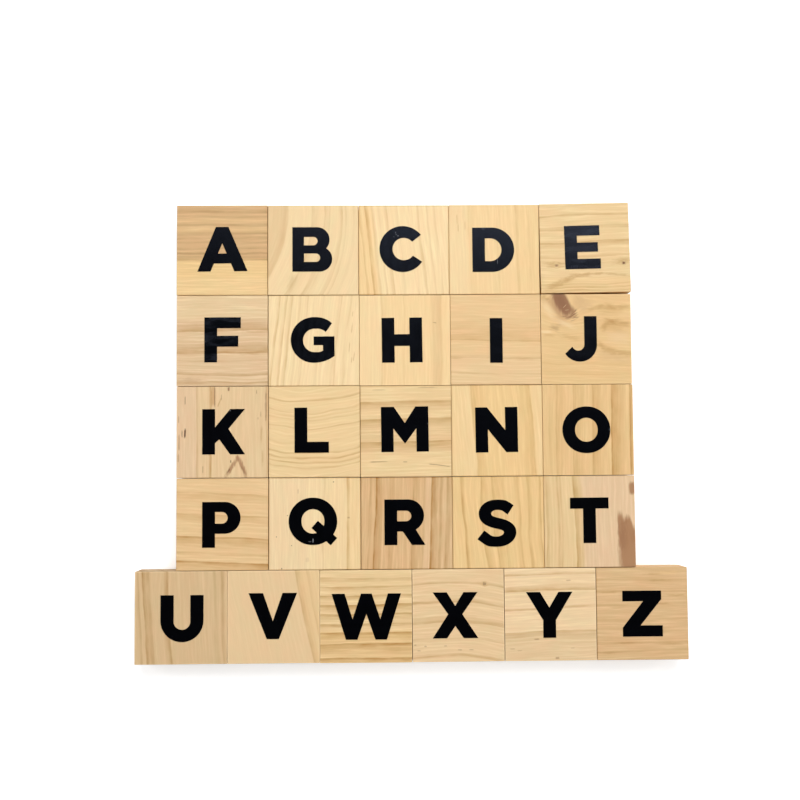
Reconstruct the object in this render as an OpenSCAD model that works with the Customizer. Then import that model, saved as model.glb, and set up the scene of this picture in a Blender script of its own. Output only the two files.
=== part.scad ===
// Alphabet set: 26 square pine tiles, each with one letter cut from black vinyl film.
// The tiles lie on a table, letters up, in four rows of five with a last row of six below.
// Every tile is loose, so each was laid by hand a little off the grid.
// The origin is the centre of the underside of the middle tile, M.
// +X runs along the rows, +Y points to the first row and +Z is up.

/* [Tiles] */
// Side of each square tile
tile_side = 50; // [42:0.5:80]
// Thickness of the board that the tiles are cut from
tile_thickness = 18; // [8:0.5:30]
// Radius of the sanded edges
edge_radius = 0.3; // [0.2:0.1:3]

/* [Layout] */
// Least gap between neighbouring tiles
joint_gap = 0.1; // [0.1:0.05:3]
// How much nearer to its neighbour than the grid says a tile was laid, at most
hand_shift = 0.1; // [0:0.05:1]
// Largest turn of a tile that was laid nearly square, in degrees
square_turn = 0.05; // [0:0.05:1]
// Turn of the one tile that lies crooked, in degrees
crooked_turn = 0.9; // [0:0.05:1.1]
// Distance that the last row lies to the right of the rows above
last_row_shift = 2.8; // [-10:0.1:10]

/* [Lettering] */
// Height of a flat-topped letter
cap_height = 24.8; // [18:0.1:30]
// Width of an upright stroke
stem = 7; // [4:0.1:8]
// Thickness of a level stroke
bar = 6; // [3:0.1:7]
// How far a round letter passes the lines at its top and bottom
overshoot = 0.45; // [0:0.05:0.8]
// Thickness of the vinyl film
film_thickness = 0.12; // [0.06:0.01:0.5]

/* [Hidden] */
$fn = 96;
// A hundredth of the cap height, the unit in which widths and places on a letter are drawn
u = cap_height / 100;
// How far a cutting shape passes the edge that it cuts
spill = 1;
// Outer radius of the round letters, and the size that a cutting wedge needs to pass them
ring_r = cap_height / 2 + overshoot;
wedge = 2 * ring_r;
// Handle of a curve as a share of its chord, and the steps along each curve of the S
tension = 0.5523;
curve_steps = 10;

// How far a corner of a turned tile passes the square that it turns in
function reach(turn) = tile_side / 2 * (cos(turn) + sin(turn) - 1);
pitch = tile_side + joint_gap + hand_shift + 2 * reach(square_turn);

// The rows of tiles from first to last. Each tile has its letter, then how it was laid:
// shifts to the right and up as shares of the hand shift, and turn as a share of the square turn.
// Last is how the letter was stuck on: shifts to the right and up from the centre, and turn in degrees.
ROWS = [
    [
        ["a", 0.7, 2.15, -0.8, 0.1, 0.6, 0.5],
        ["b", 0.8, 1, -1, -0.5, 0.4, 0],
        ["c", 0.2, 0.2, 0, -1.7, 0.5, 0],
        ["d", -0.8, 1.65, 0.7, -0.5, -0.2, 0],
        ["e", -1.8, 5, 0, -1.3, 0.6, 0.4]
    ],
    [
        ["f", -0.3, 2, 0.7, 0.2, 0.5, 0],
        ["g", 0.8, 0.65, 0.7, -0.7, 0.3, 0],
        ["h", 0.15, -0.35, 0, -1.6, 0.1, 0.5],
        ["i", -0.85, 1.25, 1, 0.3, -0.5, 0],
        ["j", -0.95, 1.5, 0.7, -2.9, 0.3, 0]
    ],
    [
        ["k", -0.5, 1.55, -1, 0.7, 0.2, 0],
        ["l", 0.35, 1, 1, -1.5, 0.8, 0],
        ["m", 0, 0, 0, -0.6, 1.1, 0.5],
        ["n", -0.75, 1, 0.7, -0.3, 0.4, 0.5],
        ["o", -0.85, 1.65, 0, -1, 0, 0]
    ],
    [
        ["p", -0.5, 1, -1, -0.5, -0.2, 0],
        ["q", 0.5, 0.65, -0.8, -1, 1.3, 0],
        ["r", 0.6, 0, 0, -1.1, 0.5, 0],
        ["s", -0.4, 0.65, 0, -0.7, -0.5, 0],
        ["t", -1.35, 1.5, 1, -0.1, 0.6, 0]
    ],
    [
        ["u", 0.4, 1, 0, 0.6, -0.2, 0],
        ["v", -0.6, 1, 0, -0.4, 0.5, 0],
        ["w", -1.5, -0.65, -1, 0.2, -0.1, 0],
        ["x", -1.15, 0.15, 1, -1.7, 0.1, 0],
        ["y", -0.5, 0.35, 0.4, -0.6, -0.2, 0],
        ["z", -0.3, 0.5, 0, 0.1, 0, 0]
    ]
];
// Distance that each row lies to the right of the middle of the layout
ROW_SHIFTS = [-0.45, -0.2, 0, 0.05, last_row_shift];
middle_row = 2;
crooked_tile = "e";

function block_name(tile) = str("block_", tile[0]);
function letter_name(tile) = str("letter_", tile[0]);
function lay_turn(tile) = tile[0] == crooked_tile ? crooked_turn : tile[3] * square_turn;
// The crooked tile stands off its neighbours by what its corners gain
function stand_off(tile) = tile[0] == crooked_tile ? reach(crooked_turn) - reach(square_turn) : 0;
function lay_shift(tile) = [tile[1], tile[2], 0] * hand_shift + [1, 1, 0] * stand_off(tile);
function letter_shift(tile) = [tile[4], tile[5], tile_thickness];
function letter_turn(tile) = tile[6];
function column_x(row, column) = (column - (len(ROWS[row]) - 1) / 2) * pitch + ROW_SHIFTS[row];
function row_y(row) = (middle_row - row) * pitch;

// Rectangle with round corners, centred
module rounded_rectangle(width, height) {
    square([width, height - 2 * edge_radius], center = true);
    square([width - 2 * edge_radius, height], center = true);
    for (x = [-1, 1], y = [-1, 1]) {
        translate([x * (width / 2 - edge_radius), y * (height / 2 - edge_radius)]) circle(edge_radius);
    }
}

// Upright or level stroke from a lower left corner
module stroke(left, low, width, height) {
    translate([left, low]) square([width, height]);
}

// Bowl of a letter: flat on the left, half round on the right
module bowl(left, right, low, high) {
    radius = (high - low) / 2;
    intersection() {
        stroke(left, low - spill, right - left + spill, high - low + 2 * spill);
        union() {
            stroke(left, low, right - left - radius, high - low);
            translate([right - radius, low + radius]) circle(radius);
        }
    }
}

// Two circles side by side or one above the other, joined by a band: a slightly long circle, centred
module long_circle(width, height) {
    radius = min(width, height) / 2;
    for (side = [-1, 1]) {
        translate([side * (width / 2 - radius), side * (height / 2 - radius)]) circle(radius);
    }
    square(width > height ? [width - height, height] : [width, height - width], center = true);
}

module glyph_a() {
    half_foot = 55.7 * u;
    half_apex = 14 * u;
    leg = 1.04 * stem;
    crossbar = 0.92 * bar;
    crossbar_low = 17.8 * u;
    lean = (half_foot - half_apex) / cap_height;
    half_gap = half_foot - leg;
    difference() {
        polygon([[-half_foot, 0], [half_foot, 0], [half_apex, cap_height], [-half_apex, cap_height]]);
        difference() {
            polygon([
                [-half_gap - lean * spill, -spill],
                [half_gap + lean * spill, -spill],
                [0, half_gap / lean]
            ]);
            stroke(-half_foot, crossbar_low, 2 * half_foot, crossbar);
        }
    }
}

module glyph_b() {
    width = 88.7 * u;
    upper_width = 83 * u;
    post = 0.92 * stem;
    wall = 0.95 * stem;
    rim = 0.9 * bar;
    waist = 0.76 * bar;
    // How far each bowl stops short of the other side of the waist, so that a notch cuts into it
    notch = 0.14 * waist;
    counter = (cap_height - 2 * rim - waist) / 2;
    translate([-width / 2, 0]) difference() {
        union() {
            bowl(0, width, 0, rim + counter + waist - notch);
            bowl(0, upper_width, rim + counter + notch, cap_height);
        }
        bowl(post, width - wall, rim, rim + counter);
        bowl(post, upper_width - wall, cap_height - rim - counter, cap_height - rim);
    }
}

module glyph_c() {
    post = 1.03 * stem;
    crown = 1.1 * bar;
    upper_cut = 38;
    lower_cut = 33.5;
    inner_r = ring_r - crown;
    right_edge = ring_r * cos(lower_cut);
    translate([(ring_r - right_edge) / 2, cap_height / 2]) difference() {
        circle(ring_r);
        translate([post - ring_r + inner_r, 0]) circle(inner_r);
        polygon([[0, 0], [wedge, -wedge * tan(lower_cut)], [wedge, wedge * tan(upper_cut)]]);
    }
}

module glyph_d() {
    width = 93.8 * u;
    wall = 1.01 * stem;
    translate([-width / 2, 0]) difference() {
        bowl(0, width, 0, cap_height);
        bowl(stem, width - wall, bar, cap_height - bar);
    }
}

module glyph_e() {
    width = 80 * u;
    upper_width = 79.4 * u;
    middle_width = 74.7 * u;
    height = 98 * u;
    arm = 0.94 * bar;
    middle_arm = 0.88 * bar;
    translate([-width / 2, 0]) {
        stroke(0, 0, stem, height);
        stroke(0, 0, width, arm);
        stroke(0, (height - middle_arm) / 2, middle_width, middle_arm);
        stroke(0, height - arm, upper_width, arm);
    }
}

module glyph_f() {
    width = 80.6 * u;
    lower_width = 74.9 * u;
    arm_gap = 0.7 * bar;
    translate([-width / 2, 0]) {
        stroke(0, 0, stem, cap_height);
        stroke(0, cap_height - bar, width, bar);
        stroke(0, cap_height - 2 * bar - arm_gap, lower_width, bar);
    }
}

module glyph_g() {
    width = 97 * u;
    long_side = 6 * u;
    post = 0.96 * stem;
    crown = 1.02 * bar;
    hollow_drop = u;
    upper_cut = 55;
    cut_foot = 14.7 * u;
    shelf_top = 7.8 * u;
    shelf = 0.8 * bar;
    spur = 0.9 * stem;
    sweep_r = 78.5 * u;
    outer_r = cap_height / 2 + overshoot / 2;
    inner_r = outer_r - crown;
    right_edge = width - outer_r;
    module hollow() {
        translate([post - outer_r + inner_r + long_side / 2, -hollow_drop]) {
            long_circle(2 * inner_r + long_side, 2 * inner_r);
        }
    }
    translate([outer_r - width / 2, cap_height / 2]) {
        difference() {
            translate([long_side / 2, 0]) long_circle(2 * outer_r + long_side, 2 * outer_r);
            hollow();
            polygon([
                [0, 0], [cut_foot, 0], [cut_foot + wedge / tan(upper_cut), wedge],
                [wedge, wedge], [wedge, -wedge], [0, -wedge]
            ]);
        }
        difference() {
            intersection() {
                stroke(0, -outer_r - spill, right_edge, outer_r + spill + shelf_top);
                translate([0, sweep_r - outer_r]) circle(sweep_r);
            }
            intersection() {
                hollow();
                stroke(-spill, -outer_r, right_edge - spur + spill, outer_r + shelf_top - shelf);
            }
        }
    }
}

module glyph_h() {
    width = 90 * u;
    bridge = 1.08 * bar;
    translate([-width / 2, 0]) {
        stroke(0, 0, stem, cap_height);
        stroke(0, (cap_height - bridge) / 2, width, bridge);
        stroke(width - stem, 0, stem, cap_height);
    }
}

module glyph_i() {
    stroke(-stem / 2, 0, stem, cap_height);
}

module glyph_j() {
    width = 70.9 * u;
    hook_r = 38.5 * u;
    sole = 1.02 * bar;
    hook_cut = 44;
    cut_rise = 11 * u;
    hook_y = hook_r - overshoot;
    inner_r = hook_r - sole;
    translate([-width / 2, 0]) {
        stroke(width - stem, hook_y, stem, cap_height - hook_y);
        intersection() {
            difference() {
                translate([width - hook_r, hook_y]) circle(hook_r);
                translate([width - stem - inner_r, hook_y]) circle(inner_r);
            }
            translate([width - hook_r, hook_y]) polygon([
                [-cut_rise / tan(hook_cut), 0], [-wedge, cut_rise - wedge * tan(hook_cut)],
                [-wedge, -wedge], [wedge, -wedge], [wedge, 0]
            ]);
        }
    }
}

module glyph_k() {
    width = 94.3 * u;
    arm_right = 93.9 * u;
    arm = 1.15 * stem;
    leg = 1.17 * stem;
    arm_joint = 59.8 * u;
    crotch = [57.6 * u, 56.4 * u];
    leg_joint = [37.8 * u, 33.2 * u];
    notch = 24.7 * u;
    translate([-width / 2, 0]) polygon([
        [0, 0], [0, cap_height], [stem, cap_height], [stem, arm_joint],
        [arm_right - arm, cap_height], [arm_right, cap_height], crotch,
        [width, 0], [width - leg, 0], leg_joint, [stem, notch], [stem, 0]
    ]);
}

module glyph_l() {
    width = 75.7 * u;
    translate([-width / 2, 0]) {
        stroke(0, 0, stem, cap_height);
        stroke(0, 0, width, bar);
    }
}

module glyph_m() {
    width = 104.9 * u;
    post = 0.96 * stem;
    shoulder = 1.01 * stem;
    notch = 36.4 * u;
    vertex = 18.2 * u;
    joint = 51.8 * u;
    middle = width / 2;
    translate([-middle, 0]) polygon([
        [0, 0], [0, cap_height], [shoulder, cap_height], [middle, cap_height - notch],
        [width - shoulder, cap_height], [width, cap_height], [width, 0], [width - post, 0],
        [width - post, joint], [middle, vertex], [post, joint], [post, 0]
    ]);
}

module glyph_n() {
    width = 93.9 * u;
    post = 0.98 * stem;
    shoulder = 0.93 * stem;
    upper_joint = 48.6 * u;
    lower_joint = 51.4 * u;
    translate([-width / 2, 0]) polygon([
        [0, 0], [0, cap_height], [shoulder, cap_height], [width - post, upper_joint],
        [width - post, cap_height], [width, cap_height], [width, 0], [width - shoulder, 0],
        [post, lower_joint], [post, 0]
    ]);
}

module glyph_o() {
    width = 106.8 * u;
    crown = 1.04 * bar;
    translate([0, cap_height / 2]) difference() {
        long_circle(width, 2 * ring_r);
        long_circle(width - 2 * stem, 2 * (ring_r - crown));
    }
}

module glyph_p() {
    width = 84.2 * u;
    bowl_low = 30.4 * u;
    rim = 0.91 * bar;
    translate([-width / 2, 0]) difference() {
        union() {
            stroke(0, 0, stem, cap_height);
            bowl(0, width, bowl_low, cap_height);
        }
        bowl(stem, width - stem, bowl_low + rim, cap_height - rim);
    }
}

module glyph_q() {
    tail = 0.88 * bar;
    tail_length = 56.7 * u;
    tail_turn = -42;
    tail_place = [24.9 * u, -25.7 * u];
    glyph_o();
    translate([tail_place.x, cap_height / 2 + tail_place.y]) rotate(tail_turn) {
        square([tail_length, tail], center = true);
    }
}

module glyph_r() {
    width = 89.9 * u;
    bowl_right = 87.4 * u;
    bowl_low = 29.6 * u;
    upper_rim = 1.02 * bar;
    lower_rim = 0.93 * bar;
    leg = 1.04 * stem;
    leg_left = [39.9 * u, 30.4 * u];
    leg_right = [68.8 * u, 34.4 * u];
    translate([-width / 2, 0]) {
        difference() {
            union() {
                stroke(0, 0, stem, cap_height);
                bowl(0, bowl_right, bowl_low, cap_height);
            }
            bowl(stem, bowl_right - stem, bowl_low + lower_rim, cap_height - upper_rim);
        }
        polygon([leg_left, [width - leg, 0], [width, 0], leg_right]);
    }
}

// Point on a cubic curve and the direction of an angle
function bezier(a, b, c, d, t) =
    a * pow(1 - t, 3) + b * 3 * t * pow(1 - t, 2) + c * 3 * pow(t, 2) * (1 - t) + d * pow(t, 3);
function heading(angle) = [cos(angle), sin(angle)];
// Handle along a heading, long in proportion to the chord's run in that heading
function handle(chord, angle) = tension * (chord * heading(angle)) * heading(angle);
// Curve through nodes that each have x, y and the heading there
function curve_between(p, q) =
    let (a = [p.x, p.y], d = [q.x, q.y], chord = d - a)
    [
        for (i = [1:curve_steps])
            bezier(a, a + handle(chord, p.z), d - handle(chord, q.z), d, i / curve_steps)
    ];
function curve_through(nodes) = concat(
    [[nodes[0].x, nodes[0].y]],
    [for (i = [1:len(nodes) - 1]) each curve_between(nodes[i - 1], nodes[i])]
);

module glyph_s() {
    left_edge = -40.5 * u;
    right_edge = 42.1 * u;
    wall = 0.97 * stem;
    rim = 0.93 * bar;
    spine_fall = 12;
    upper_y = 21.5 * u;
    lower_y = -20 * u;
    lean = 1.6 * u;
    end_cut = 1.08 * rim;
    // Outer corners of the two ends, the way each end is cut, and the headings of the curves there
    upper_end = [36.8 * u, 39.5 * u];
    upper_cut = 237;
    upper_headings = [147, -32];
    lower_end = [-44 * u, -35 * u];
    lower_cut = 51;
    lower_headings = [148, -35];
    upper_inner = upper_end + end_cut * heading(upper_cut);
    lower_inner = lower_end + end_cut * heading(lower_cut);
    east = 0;
    north = 90;
    west = 180;
    south = 270;
    downward = curve_through([
        [upper_end.x, upper_end.y, upper_headings[0]],
        [-lean, ring_r, west],
        [left_edge, upper_y, south],
        [-lean, -bar / 2, -spine_fall],
        [right_edge - wall, lower_y, south],
        [-lean, rim - ring_r, west],
        [lower_inner.x, lower_inner.y, lower_headings[0]]
    ]);
    upward = curve_through([
        [lower_end.x, lower_end.y, lower_headings[1]],
        [0, -ring_r, east],
        [right_edge, lower_y, north],
        [lean, bar / 2, west - spine_fall],
        [left_edge + wall, upper_y, north],
        [0, ring_r - rim, east],
        [upper_inner.x, upper_inner.y, upper_headings[1]]
    ]);
    translate([0, cap_height / 2]) polygon(concat(downward, upward));
}

module glyph_t() {
    width = 85.6 * u;
    stroke(-width / 2, cap_height - bar, width, bar);
    stroke(-stem / 2, 0, stem, cap_height);
}

module glyph_u() {
    width = 93.9 * u;
    sole = 1.1 * bar;
    outer_r = width / 2;
    inner_r = outer_r - 1.02 * stem;
    outer_y = outer_r - overshoot;
    inner_y = sole - overshoot + inner_r;
    difference() {
        union() {
            stroke(-outer_r, outer_y, width, cap_height - outer_y);
            translate([0, outer_y]) circle(outer_r);
        }
        stroke(-inner_r, inner_y, 2 * inner_r, cap_height - inner_y + spill);
        translate([0, inner_y]) circle(inner_r);
    }
}

module glyph_v() {
    half_top = 53 * u;
    half_foot = 13.2 * u;
    arm = 1.12 * stem;
    notch = 38.9 * u;
    polygon([
        [-half_top, cap_height], [arm - half_top, cap_height], [0, notch],
        [half_top - arm, cap_height], [half_top, cap_height], [half_foot, 0], [-half_foot, 0]
    ]);
}

module glyph_w() {
    half_top = 76.1 * u;
    arm = 1.015 * stem;
    notch = [30.4 * u, 44.5 * u];
    half_peak = 11.7 * u;
    foot_right = 44.9 * u;
    foot_left = 19.8 * u;
    fork = 55.9 * u;
    polygon([
        [-half_top, cap_height], [arm - half_top, cap_height], [-notch.x, notch.y],
        [-half_peak, cap_height], [half_peak, cap_height], notch,
        [half_top - arm, cap_height], [half_top, cap_height], [foot_right, 0], [foot_left, 0],
        [0, fork], [-foot_left, 0], [-foot_right, 0]
    ]);
}

module glyph_x() {
    half_top = 49.4 * u;
    half_foot = 50 * u;
    arm = 1.1 * stem;
    leg = 1.12 * stem;
    upper_notch = 70.4 * u;
    lower_notch = 26.8 * u;
    waist = [15.6 * u, 52.2 * u];
    polygon([
        [-half_top, cap_height], [arm - half_top, cap_height], [0, upper_notch],
        [half_top - arm, cap_height], [half_top, cap_height], waist, [half_foot, 0],
        [half_foot - leg, 0], [0, lower_notch], [leg - half_foot, 0], [-half_foot, 0], [-waist.x, waist.y]
    ]);
}

module glyph_y() {
    half_top = 51.2 * u;
    arm = 1.09 * stem;
    notch = 65.8 * u;
    joint = 38.5 * u;
    polygon([
        [-half_top, cap_height], [arm - half_top, cap_height], [0, notch],
        [half_top - arm, cap_height], [half_top, cap_height], [stem / 2, joint],
        [stem / 2, 0], [-stem / 2, 0], [-stem / 2, joint]
    ]);
}

module glyph_z() {
    width = 88.3 * u;
    upper_width = 86 * u;
    upper_bar = 0.95 * bar;
    upper_right = 81.2 * u;
    lower_left = 19.6 * u;
    upper_inner = 45.7 * u;
    lower_inner = 39.3 * u;
    translate([-width / 2, 0]) polygon([
        [0, 0], [width, 0], [width, bar], [lower_inner, bar], [upper_width, upper_right],
        [upper_width, cap_height], [0, cap_height], [0, cap_height - upper_bar],
        [upper_inner, cap_height - upper_bar], [0, lower_left]
    ]);
}

// One letter's outline, centred on the tile
module glyph(name) {
    translate([0, -cap_height / 2]) {
        if (name == "a") glyph_a();
        if (name == "b") glyph_b();
        if (name == "c") glyph_c();
        if (name == "d") glyph_d();
        if (name == "e") glyph_e();
        if (name == "f") glyph_f();
        if (name == "g") glyph_g();
        if (name == "h") glyph_h();
        if (name == "i") glyph_i();
        if (name == "j") glyph_j();
        if (name == "k") glyph_k();
        if (name == "l") glyph_l();
        if (name == "m") glyph_m();
        if (name == "n") glyph_n();
        if (name == "o") glyph_o();
        if (name == "p") glyph_p();
        if (name == "q") glyph_q();
        if (name == "r") glyph_r();
        if (name == "s") glyph_s();
        if (name == "t") glyph_t();
        if (name == "u") glyph_u();
        if (name == "v") glyph_v();
        if (name == "w") glyph_w();
        if (name == "x") glyph_x();
        if (name == "y") glyph_y();
        if (name == "z") glyph_z();
    }
}

// The tile's side view with its sanded edges, run through the tile from side to side
module side_prism(turn) {
    rotate([90, 0, turn]) linear_extrude(tile_side, center = true) {
        rounded_rectangle(tile_side, tile_thickness);
    }
}

// Pine tile with sanded edges, lying on the table
module block() {
    color("burlywood") translate([0, 0, tile_thickness / 2]) intersection() {
        linear_extrude(tile_thickness, center = true) rounded_rectangle(tile_side, tile_side);
        side_prism(0);
        side_prism(90);
    }
}

// Letter cut from vinyl film, stuck on the tile's upper face
module letter(tile) {
    color("black") translate(letter_shift(tile)) rotate(letter_turn(tile)) {
        linear_extrude(film_thickness) glyph(tile[0]);
    }
}

// A tile's own place in the layout
module laid(row, column) {
    tile = ROWS[row][column];
    grid_place = [column_x(row, column), row_y(row), 0];
    translate(grid_place + lay_shift(tile)) rotate(lay_turn(tile)) children();
}

for (row = [0:len(ROWS) - 1]) {
    for (column = [0:len(ROWS[row]) - 1]) {
        tile = ROWS[row][column];
        laid(row, column) block();
        laid(row, column) letter(tile);
    }
}
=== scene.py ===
"""Looks of an alphabet set: 26 loose pine tiles on a white table, each with one letter cut from black vinyl.

Every tile was sawn from its own piece of board, so every tile has its own grain: the way the fibres run,
where the growth rings cross its face, and its knots, streaks and stains. Places on a tile are in millimetres
from the middle of its upper face.
"""

from dataclasses import dataclass
from math import cos, hypot, radians, sin

import bpy
import numpy as np
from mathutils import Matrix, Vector


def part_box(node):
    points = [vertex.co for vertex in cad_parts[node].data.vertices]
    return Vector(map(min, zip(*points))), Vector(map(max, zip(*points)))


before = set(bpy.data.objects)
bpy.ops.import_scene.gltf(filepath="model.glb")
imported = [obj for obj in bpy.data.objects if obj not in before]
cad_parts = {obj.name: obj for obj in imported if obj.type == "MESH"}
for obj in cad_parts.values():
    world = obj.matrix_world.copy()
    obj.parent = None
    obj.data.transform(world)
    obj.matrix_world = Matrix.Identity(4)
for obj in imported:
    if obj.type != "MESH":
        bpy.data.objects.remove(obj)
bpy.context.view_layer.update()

LETTERS = "abcdefghijklmnopqrstuvwxyz"
MM = 0.001
WHITE = (1, 1, 1, 1)

# Camera, looking down on the faces as in the photograph
CAMERA_PLACE = (-0.01651, -0.0239, 0.67654)
CAMERA_TURN = (3.5775, -1.1366, -0.4116)
CAMERA_LENS = 54
SENSOR = 36


def tone(red, green, blue):
    """Colour for a shader from the three sRGB values, 0 to 255, that it shows on a screen."""
    share = np.array([red, green, blue]) / 255
    linear = np.where(share <= 0.04045, share / 12.92, ((share + 0.055) / 1.055) ** 2.4)
    return (*linear.tolist(), 1.0)


# Tones of pine, from the palest early wood to knots and resin
PALE = tone(247, 218, 169)
PEACH = tone(247, 213, 159)
STRAW = tone(239, 207, 155)
GOLD = tone(241, 204, 145)
HONEY = tone(238, 201, 149)
ROSE = tone(237, 204, 157)
PINK = tone(236, 201, 161)
OAT = tone(224, 191, 145)
TAN = tone(220, 181, 132)
LATE = tone(186, 136, 74)
RUST = tone(174, 128, 90)
KNOT = tone(150, 106, 76)
RESIN = tone(96, 60, 38)
# Grey specks on the film: dust and scratches, and painted glints on air under it
DUST_AND_GLINT = tone(120, 122, 126)
# What late wood leaves of the red, green and blue of the wood beside it
AMBER = (0.6, 0.43, 0.2)
DULL = (0.53, 0.44, 0.26)

# Fibres run level across a tile, or upright
LEVEL = 0
UPRIGHT = -90
# Place past the edge of every tile, for zones that run off it
OFF = 60


@dataclass
class Mark:
    """Stain, streak or speck on a face, in millimetres and degrees.

    right, up: place of its middle, and along, across: half sizes along and across the grain
    share: how much of its colour covers the wood, and core: share of the half sizes inside which it is full
    ragged: how torn its edge is, and turn: angle of its length from the grain
    """

    right: float
    up: float
    along: float
    across: float
    colour: tuple = RESIN
    share: float = 0.7
    ragged: float = 0.5
    turn: float = 0.0
    core: float = 0.55


@dataclass
class Board:
    """Wood of one tile.

    Places across the grain run up a tile with level grain, and to the right on one with upright grain.
    grain: direction of the fibres in degrees
    wood: tone between the rings, and shade: how bright this board is
    late: tint of the rings
    rings: late wood lines as (place across, distance to where it has faded out, darkness)
    zones: broad bands of another tone as (from, to, tone, share)
    edge: width of the steep side of a ring
    painted_edge_shade: how brown the block's sanded edges are painted as shade, less than 0 for a paler
    painted highlight there
    wander: how far the lines stray from straight, and wave: how soon they turn back
    sweep: how strongly the lines bow across the tile
    streak: how much the fine lines between the rings show
    knots: places that the lines flow round, as (right, up, radius)
    telegraph_and_sheen: how much of the grain shows through the film as bumps, and how much painted sheen
    its colour gets there
    flecks: grey specks on the film: dust under it and scratches on it, and painted glints where air is under
    it
    """

    grain: float
    wood: tuple
    shade: float = 1.0
    late: tuple = AMBER
    rings: tuple = ()
    zones: tuple = ()
    edge: float = 0.4
    painted_edge_shade: float = 0.2
    wander: float = 0.8
    wave: float = 45
    sweep: float = 0.0
    streak: float = 0.22
    knots: tuple = ()
    marks: tuple = ()
    telegraph_and_sheen: float = 0.015
    flecks: tuple = ()


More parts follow.
